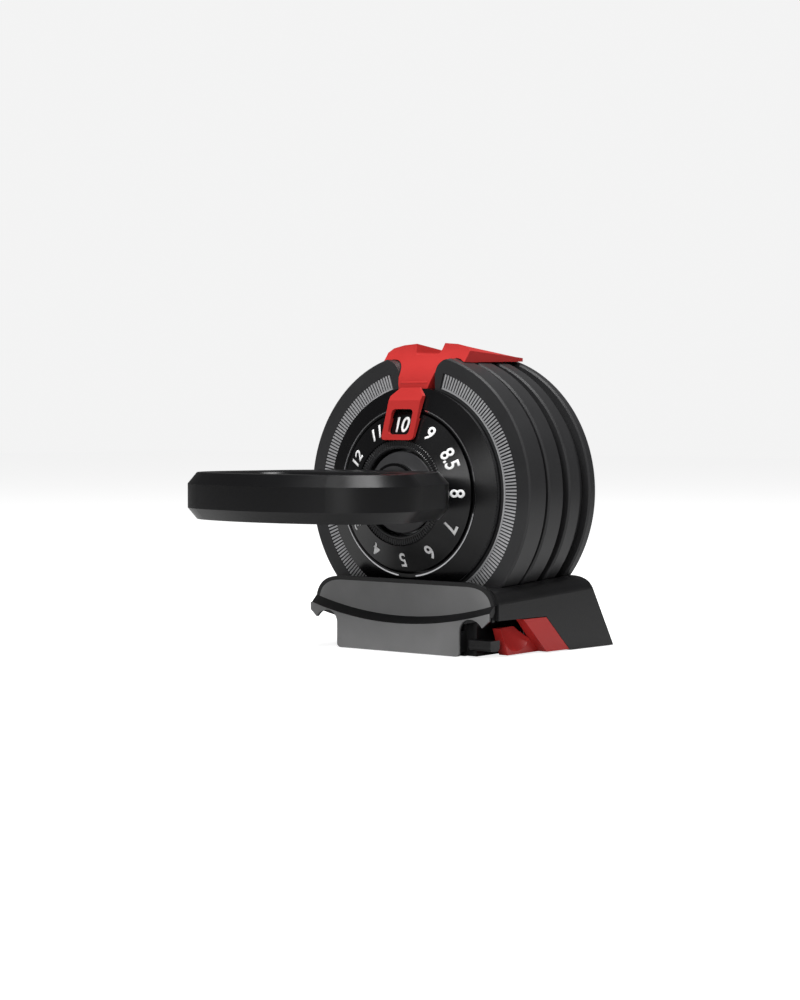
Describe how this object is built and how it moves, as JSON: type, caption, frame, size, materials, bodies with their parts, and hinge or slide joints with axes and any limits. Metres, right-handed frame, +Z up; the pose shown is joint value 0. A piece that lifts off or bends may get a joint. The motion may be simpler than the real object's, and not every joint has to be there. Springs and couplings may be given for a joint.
{
  "type": "adjustable kettlebell",
  "caption": "Round adjustable kettlebell with a closed loop handle, number dial and lift-off weight plates, lying in a cradle tray.",
  "frame": {"origin": "on the floor under the middle of the footprint", "axes": "+X the bell's right-hand side, +Y from the handle to the rear plate, +Z up"},
  "size_m": [0.2, 0.2955, 0.2226],
  "materials": {
    "plate_plastic": "satin moulded plastic",
    "iron": "as cast",
    "tick_metal": "metallic silver print on dark plastic",
    "dial_plastic": "gloss moulded plastic",
    "knurl_plastic": "ribbed satin plastic",
    "hub_plastic": "satin plastic",
    "bright_trim": "polished trim",
    "steel": "machined steel",
    "bush_metal": "turned brass",
    "handle_plastic": "satin moulded plastic",
    "screw_steel": "blackened steel",
    "red_plastic": "satin moulded plastic",
    "spine_plastic": "satin plastic",
    "spring_steel": "drawn wire",
    "tray_plastic": "satin moulded plastic",
    "tray_inlay": "satin grey plastic",
    "rubber": "matt rubber"
  },
  "bodies": {
    "tray": {"tray_shell": "tray_plastic", "tray_front_frame": "tray_plastic", "tray_front_panel": "tray_inlay", "tray_apron": "tray_inlay", "tray_base_plate": "tray_plastic", "tray_feet": "rubber", "tray_screws": "screw_steel", "cradle_pads": "rubber", "latch_spring": "spring_steel"},
    "rear_plate": {"rear_plate_casing": "plate_plastic", "rear_plate_iron": "iron"},
    "middle_plate": {"middle_plate_casing": "plate_plastic", "middle_plate_iron": "iron"},
    "inner_plate": {"inner_plate_casing": "plate_plastic", "inner_plate_iron": "iron"},
    "front_plate": {"front_plate_casing": "plate_plastic", "front_plate_iron": "iron", "tick_band": "tick_metal"},
    "core": {"handle_frame": "handle_plastic", "handle_cover_top": "handle_plastic", "handle_cover_bottom": "handle_plastic", "handle_screws": "screw_steel", "axle": "steel", "neck_flange": "handle_plastic", "hub_disc": "hub_plastic", "bezel": "dial_plastic", "rim_wire": "bright_trim", "sleeve_bush": "bush_metal", "spine": "spine_plastic", "saddle": "red_plastic", "rear_retainer": "steel", "axle_nut": "steel", "slider_spring": "spring_steel"},
    "dial": {"number_dial": "dial_plastic", "knurl_ring": "knurl_plastic", "selector_sleeve": "steel", "selector_lobes": "steel"},
    "slider": {"window_slider": "red_plastic", "slider_tongue": "red_plastic"},
    "latch_button": {"latch": "red_plastic"}
  },
  "joints": [
    {"name": "rear_plate_lift", "type": "slide", "parent": "tray", "child": "rear_plate", "axis": [0, 0, 1], "range_m": [0, 0.125]},
    {"name": "middle_plate_lift", "type": "slide", "parent": "rear_plate", "child": "middle_plate", "axis": [0, 0, 1], "range_m": [0, 0.125]},
    {"name": "inner_plate_lift", "type": "slide", "parent": "middle_plate", "child": "inner_plate", "axis": [0, 0, 1], "range_m": [0, 0.125]},
    {"name": "front_plate_lift", "type": "slide", "parent": "inner_plate", "child": "front_plate", "axis": [0, 0, 1], "range_m": [0, 0.125]},
    {"name": "bell_lift", "type": "slide", "parent": "front_plate", "child": "core", "axis": [0, 0, 1], "range_m": [0, 0.125]},
    {"name": "dial_turn", "type": "hinge", "parent": "core", "child": "dial", "pos_m": [0, 0.03275, 0.115], "axis": [0, 1, 0], "range_deg": [-240, 60]},
    {"name": "slider_push", "type": "slide", "parent": "core", "child": "slider", "axis": [0, 0.4084, 0.9128], "range_m": [0, 0.004], "stiffness_N_per_m": 150, "springref_m": -0.002, "deforming": ["slider_spring"]},
    {"name": "latch_press", "type": "slide", "parent": "tray", "child": "latch_button", "axis": [-1, 0, 0], "range_m": [0, 0.005], "stiffness_N_per_m": 300, "springref_m": -0.003, "deforming": ["latch_spring"]}
  ]
}
